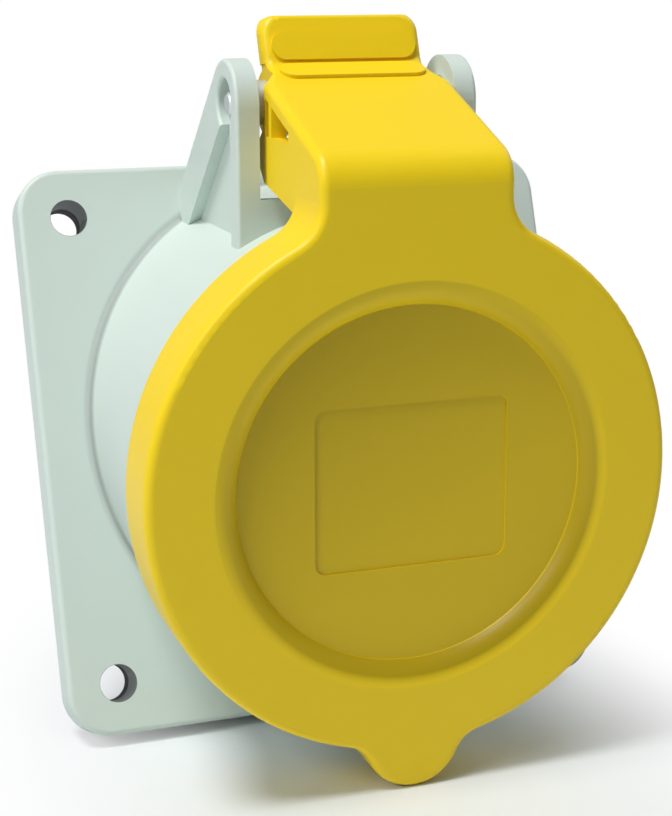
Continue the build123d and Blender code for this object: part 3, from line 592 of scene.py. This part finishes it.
@dataclass
class ContactSet:
    """The black carrier and block with their brass contacts, clips and screws."""

    moulding: MouldedFinish = MouldedFinish("carrier_black", linear(42, 43, 46), 0.45, drift=0.2)
    seal: MouldedFinish = MouldedFinish("ring_black", linear(26, 26, 27), 0.65, drift=0.3)
    brass: MetalFinish = MetalFinish(
        "contact_brass", linear(214, 178, 100), linear(170, 134, 70), 0.18
    )
    steel: MetalFinish = MetalFinish(
        "plated_steel", linear(200, 200, 196), linear(160, 160, 158), 0.25
    )
    poles: tuple[str, ...] = ("earth_{}", "line_{}_1", "line_{}_2")
    steel_parts: tuple[str, ...] = ("clip", "screw", "pad")

    def build(self) -> None:
        """Dress the carrier, the block and all that they hold."""
        black, brass, steel = (
            finish.material() for finish in (self.moulding, self.brass, self.steel)
        )
        dress(black, "seal_carrier", "contact_carrier", "terminal_block")
        dress(self.seal.material(), "carrier_seal")
        dress(steel, "assembly_screws")
        for pole in self.poles:
            dress(brass, pole.format("contact"))
            dress(steel, *(pole.format(part) for part in self.steel_parts))


@dataclass(frozen=True)
class Lamp:
    """One soft area lamp."""

    role: Role
    place: Point
    size: float
    power: float

    def build(self, target: Point) -> None:
        """Add the lamp, aimed at a point.

        Args:
            target: The point that the lamp faces.
        """
        light = bpy.data.lights.new(self.role.value, "AREA")
        light.shape = "DISK"
        light.size = self.size
        light.energy = self.power
        lamp = bpy.data.objects.new(self.role.value, light)
        lamp.location = self.place
        aim = Vector(target) - Vector(self.place)
        lamp.rotation_euler = aim.to_track_quat("-Z", "Y").to_euler()
        bpy.context.scene.collection.objects.link(lamp)
        LOG.info("lamp %s", self.role.value)


@dataclass
class Studio:
    """Floor, lamps, world and camera."""

    floor_point: Point = (0.0, -0.003, -0.0425)
    floor_slope: float = 19.5
    floor_half: float = 3.0
    floor_colour: Colour = (0.78, 0.82, 0.84)
    floor_roughness: float = 0.55
    fade_scales: Point = (3.0, 1.5, 1.0)
    fade_shift: Point = (0.0, 0.045, 0.0)
    fade_ends: Range = (0.05, 0.19)
    lamps: tuple[Lamp, ...] = (
        Lamp(Role.KEY, (-0.40, -0.47, 0.88), 0.36, 8.8),
        Lamp(Role.FILL, (-0.80, -0.55, 0.45), 0.45, 2.9),
        Lamp(Role.RIM, (0.75, -0.10, 0.65), 0.6, 1.9),
        Lamp(Role.BACK, (0.75, 0.90, 0.25), 0.6, 1.6),
    )
    lamp_target: Point = (0.0, -0.02, 0.0)
    world_colour: Colour = (0.93, 0.96, 1.0)
    world_level: float = 0.12
    gloss_level: float = 0.35
    camera_place: Point = (-0.08612, -0.26844, -0.02257)
    camera_right: Point = (0.9416, -0.3148, -0.1188)
    camera_up: Point = (0.0829, -0.1252, 0.9886)
    camera_back: Point = (-0.3259, -0.9408, -0.0918)
    camera_clip: float = 0.01
    focal_pixels: float = 1762.39
    picture_height: int = 816
    sensor: float = 36.0

    def build(self) -> None:
        """Build the whole studio."""
        self.lay_floor()
        for lamp in self.lamps:
            lamp.build(self.lamp_target)
        self.fill_world()
        self.place_camera()

    def lay_floor(self) -> None:
        """Lay a pale floor that leans as the object rests on it, and fades to white."""
        half = self.floor_half
        corners = [(-half, -half, 0), (half, -half, 0), (half, half, 0), (-half, half, 0)]
        mesh = bpy.data.meshes.new("floor")
        mesh.from_pydata(corners, [], [(0, 1, 2, 3)])
        floor = bpy.data.objects.new("floor", mesh)
        slope = math.radians(self.floor_slope)
        floor.matrix_world = Matrix.Translation(self.floor_point) @ Matrix.Rotation(slope, 4, "X")
        bpy.context.scene.collection.objects.link(floor)
        mesh.materials.append(self.floor_material())
        floor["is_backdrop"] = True
        LOG.info("floor laid")

    def floor_material(self) -> bpy.types.Material:
        """Make the floor's material: white to the camera far out, with the object's soft shadow.

        Returns:
            The material.
        """
        material, wiring = new_material("floor_white")
        base = {"Roughness": self.floor_roughness, "Base Color": (*self.floor_colour, OPAQUE)}
        wiring.feed(wiring.surface, base)
        oval = wiring.vectors("MULTIPLY_ADD", wiring.place(), self.fade_scales, self.fade_shift)
        reach = wiring.length(oval)
        fade = wiring.grade(reach, self.fade_ends, (0.0, 1.0), interpolation_type="SMOOTHSTEP")
        seen = wiring.times(fade, wiring.add("LightPath").outputs["Is Camera Ray"])
        white = wiring.add("Emission", {"Color": WHITE}).outputs["Emission"]
        wiring.put_out("Material Output", seen, wiring.surface.outputs["BSDF"], white)
        return material

    def fill_world(self) -> None:
        """Give the world a soft pale light, and white where the camera looks past the floor."""
        world = bpy.data.worlds.new("studio")
        world.use_nodes = True
        bpy.context.scene.world = world
        wiring = Wiring(world.node_tree)
        soft = wiring.tree.nodes["Background"]
        wiring.feed(soft, {"Color": (*self.world_colour, OPAQUE), "Strength": self.world_level})
        white = wiring.add("Background", {"Color": WHITE, "Strength": 1.0})
        path = wiring.add("LightPath").outputs
        gloss = wiring.times(path["Is Glossy Ray"], self.gloss_level)
        share = wiring.numbers("MAXIMUM", path["Is Camera Ray"], gloss)
        wiring.put_out("World Output", share, soft.outputs[0], white.outputs[0])

    def place_camera(self) -> None:
        """Stand the camera where the photograph was taken from."""
        data = bpy.data.cameras.new("camera")
        data.sensor_fit = "VERTICAL"
        data.sensor_height = self.sensor
        data.lens = self.focal_pixels / self.picture_height * self.sensor
        data.clip_start = self.camera_clip
        camera = bpy.data.objects.new("camera", data)
        turn = Matrix((self.camera_right, self.camera_up, self.camera_back)).transposed()
        camera.matrix_world = Matrix.Translation(self.camera_place) @ turn.to_4x4()
        bpy.context.scene.collection.objects.link(camera)
        bpy.context.scene.camera = camera
        LOG.info("camera placed")


def plain_box(box: object) -> object:
    """Turn nested vectors into plain lists of numbers.

    Args:
        box: A number or a nest of sequences of numbers.

    Returns:
        The same numbers in plain lists.
    """
    if isinstance(box, (int, float)):
        return float(box)
    return [plain_box(part) for part in box]


def main() -> None:
    """Dress the socket outlet and set the stage; the sizes are measured but not kept."""
    logging.basicConfig(level=logging.INFO, format="%(message)s")
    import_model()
    solids = plain_box(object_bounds())
    bpy.context.scene.view_settings.view_transform = "Standard"
    PanelHousing().build()
    SprungLid().build()
    ContactSet().build()
    Studio().build()
    {"solids": solids, "visual": plain_box(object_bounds())}


if __name__ == "__main__":
    main()
